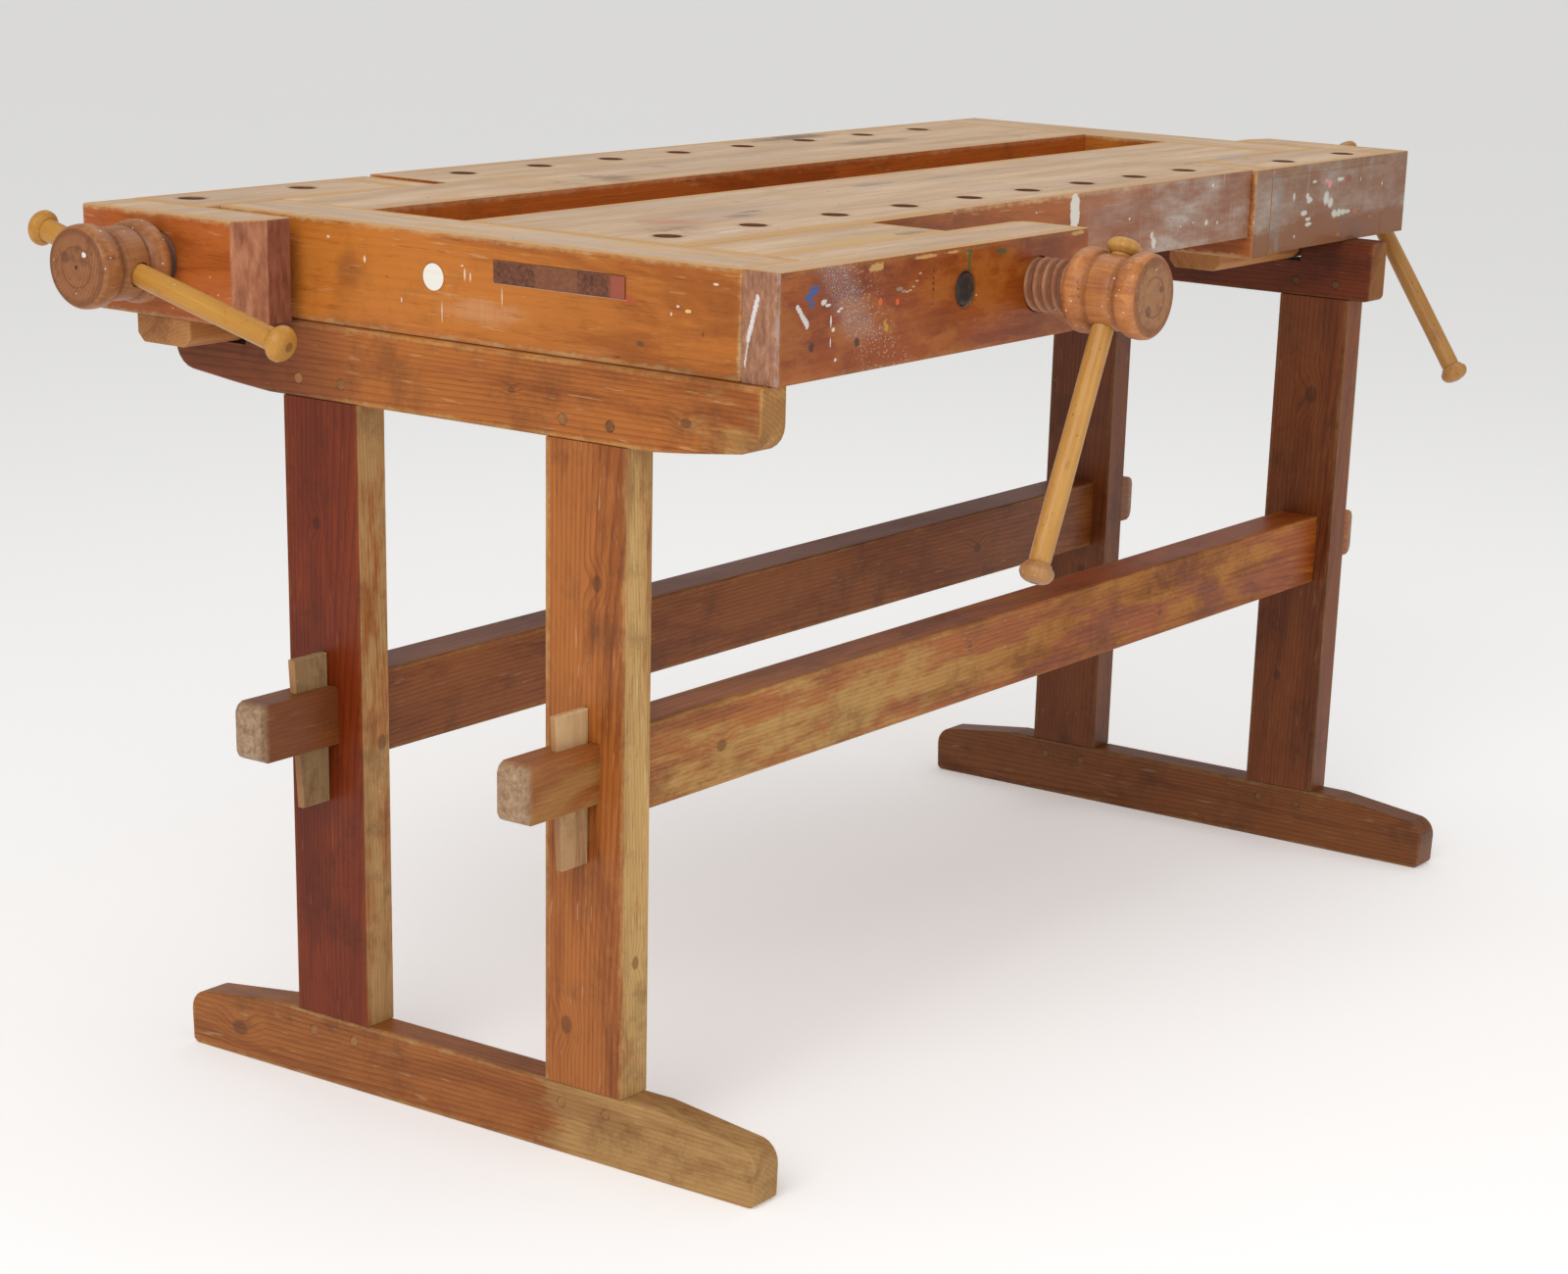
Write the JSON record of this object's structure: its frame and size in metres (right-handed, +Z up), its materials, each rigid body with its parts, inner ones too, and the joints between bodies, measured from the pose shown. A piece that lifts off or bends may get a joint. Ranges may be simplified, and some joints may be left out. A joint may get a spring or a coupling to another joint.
{
  "type": "joiner's workbench",
  "caption": "Long wooden joiner's bench for use from both sides: slotted top with a tool tray, wooden screw vises at the front and at both ends, on wedged trestles.",
  "frame": {"origin": "on the floor, under the centre of the bench's overall length and width", "axes": "+X along the bench towards the end with the closed tail vise, +Y across it towards the plain edge, +Z up"},
  "size_m": [1.806, 0.874, 0.8453],
  "materials": {
    "pine": "worn reddish-brown varnish over pine",
    "pale_pine": "bare, dulled",
    "varnished_beech": "worn varnish with paint marks",
    "turned_beech": "turned, satin",
    "handle_beech": "golden, polished by use",
    "dark_steel": "dark, tarnished"
  },
  "bodies": {
    "bench": {"left_foot": "pine", "left_beam": "pine", "left_post_near": "pine", "left_wedge_near": "pale_pine", "left_foot_peg_near_1": "pale_pine", "left_foot_peg_near_2": "pale_pine", "left_beam_peg_near_1": "pale_pine", "left_beam_peg_near_2": "pale_pine", "left_post_far": "pine", "left_wedge_far": "pale_pine", "left_foot_peg_far_1": "pale_pine", "left_foot_peg_far_2": "pale_pine", "left_beam_peg_far_1": "pale_pine", "left_beam_peg_far_2": "pale_pine", "right_foot": "pine", "right_beam": "pine", "right_post_near": "pine", "right_wedge_near": "pale_pine", "right_foot_peg_near_1": "pale_pine", "right_foot_peg_near_2": "pale_pine", "right_beam_peg_near_1": "pale_pine", "right_beam_peg_near_2": "pale_pine", "right_post_far": "pine", "right_wedge_far": "pale_pine", "right_foot_peg_far_1": "pale_pine", "right_foot_peg_far_2": "pale_pine", "right_beam_peg_far_1": "pale_pine", "right_beam_peg_far_2": "pale_pine", "near_stretcher": "pine", "far_stretcher": "pine", "near_plank": "varnished_beech", "far_plank": "varnished_beech", "left_end_board": "varnished_beech", "right_end_board": "varnished_beech", "vise_arm": "varnished_beech", "arm_spacer": "varnished_beech", "tray_board": "pine", "arm_bolt": "dark_steel"},
    "front_jaw": {"front_jaw_board": "varnished_beech"},
    "front_spindle": {"front_screw": "turned_beech"},
    "front_bar": {"front_handle": "handle_beech", "front_handle_knob": "handle_beech"},
    "left_carriage": {"left_end_block": "varnished_beech", "left_vise_cover": "varnished_beech", "left_dog_board": "varnished_beech", "left_tail_jaw": "varnished_beech", "left_guide_rail": "pine"},
    "left_spindle": {"left_tail_screw": "turned_beech"},
    "left_bar": {"left_tail_handle": "handle_beech", "left_tail_handle_knob": "handle_beech"},
    "right_carriage": {"right_end_block": "varnished_beech", "right_vise_cover": "varnished_beech", "right_dog_board": "varnished_beech", "right_tail_jaw": "varnished_beech", "right_guide_rail": "pine"},
    "right_spindle": {"right_tail_screw": "turned_beech"},
    "right_bar": {"right_tail_handle": "handle_beech", "right_tail_handle_knob": "handle_beech"}
  },
  "joints": [
    {"name": "front_jaw_slide", "type": "slide", "parent": "bench", "child": "front_jaw", "axis": [0, 1, 0], "range_m": [0, 0.0436]},
    {"name": "front_screw_turn", "type": "hinge", "parent": "front_jaw", "child": "front_spindle", "pos_m": [-0.3125, -0.312, 0.7956], "axis": [0, 1, 0], "range_deg": [0, 1566]},
    {"name": "front_bar_slide", "type": "slide", "parent": "front_spindle", "child": "front_bar", "axis": [0.411, 0, 0.9116], "range_m": [0, 0.22]},
    {"name": "left_carriage_slide", "type": "slide", "parent": "bench", "child": "left_carriage", "axis": [1, 0, 0], "range_m": [-0.11, 0.0175]},
    {"name": "left_screw_turn", "type": "hinge", "parent": "left_carriage", "child": "left_spindle", "pos_m": [-0.8055, 0.333, 0.798], "axis": [1, 0, 0], "range_deg": [-3958, 628]},
    {"name": "left_bar_slide", "type": "slide", "parent": "left_spindle", "child": "left_bar", "axis": [0, 0.9701, 0.2425], "range_m": [-0.051, 0.16]},
    {"name": "right_carriage_slide", "type": "slide", "parent": "bench", "child": "right_carriage", "axis": [-1, 0, 0], "range_m": [-0.11, 0.0005]},
    {"name": "right_screw_turn", "type": "hinge", "parent": "right_carriage", "child": "right_spindle", "pos_m": [0.8055, -0.056, 0.796], "axis": [-1, 0, 0], "range_deg": [-3958, 14]},
    {"name": "right_bar_slide", "type": "slide", "parent": "right_spindle", "child": "right_bar", "axis": [0, 0.564, 0.8258], "range_m": [0, 0.226]}
  ],
  "couplings": [
    {"joint": "front_jaw_slide", "follows": "front_screw_turn", "m_per_rad": 0.0015915},
    {"joint": "left_carriage_slide", "follows": "left_screw_turn", "m_per_rad": 0.0015915},
    {"joint": "right_carriage_slide", "follows": "right_screw_turn", "m_per_rad": 0.0015915}
  ]
}
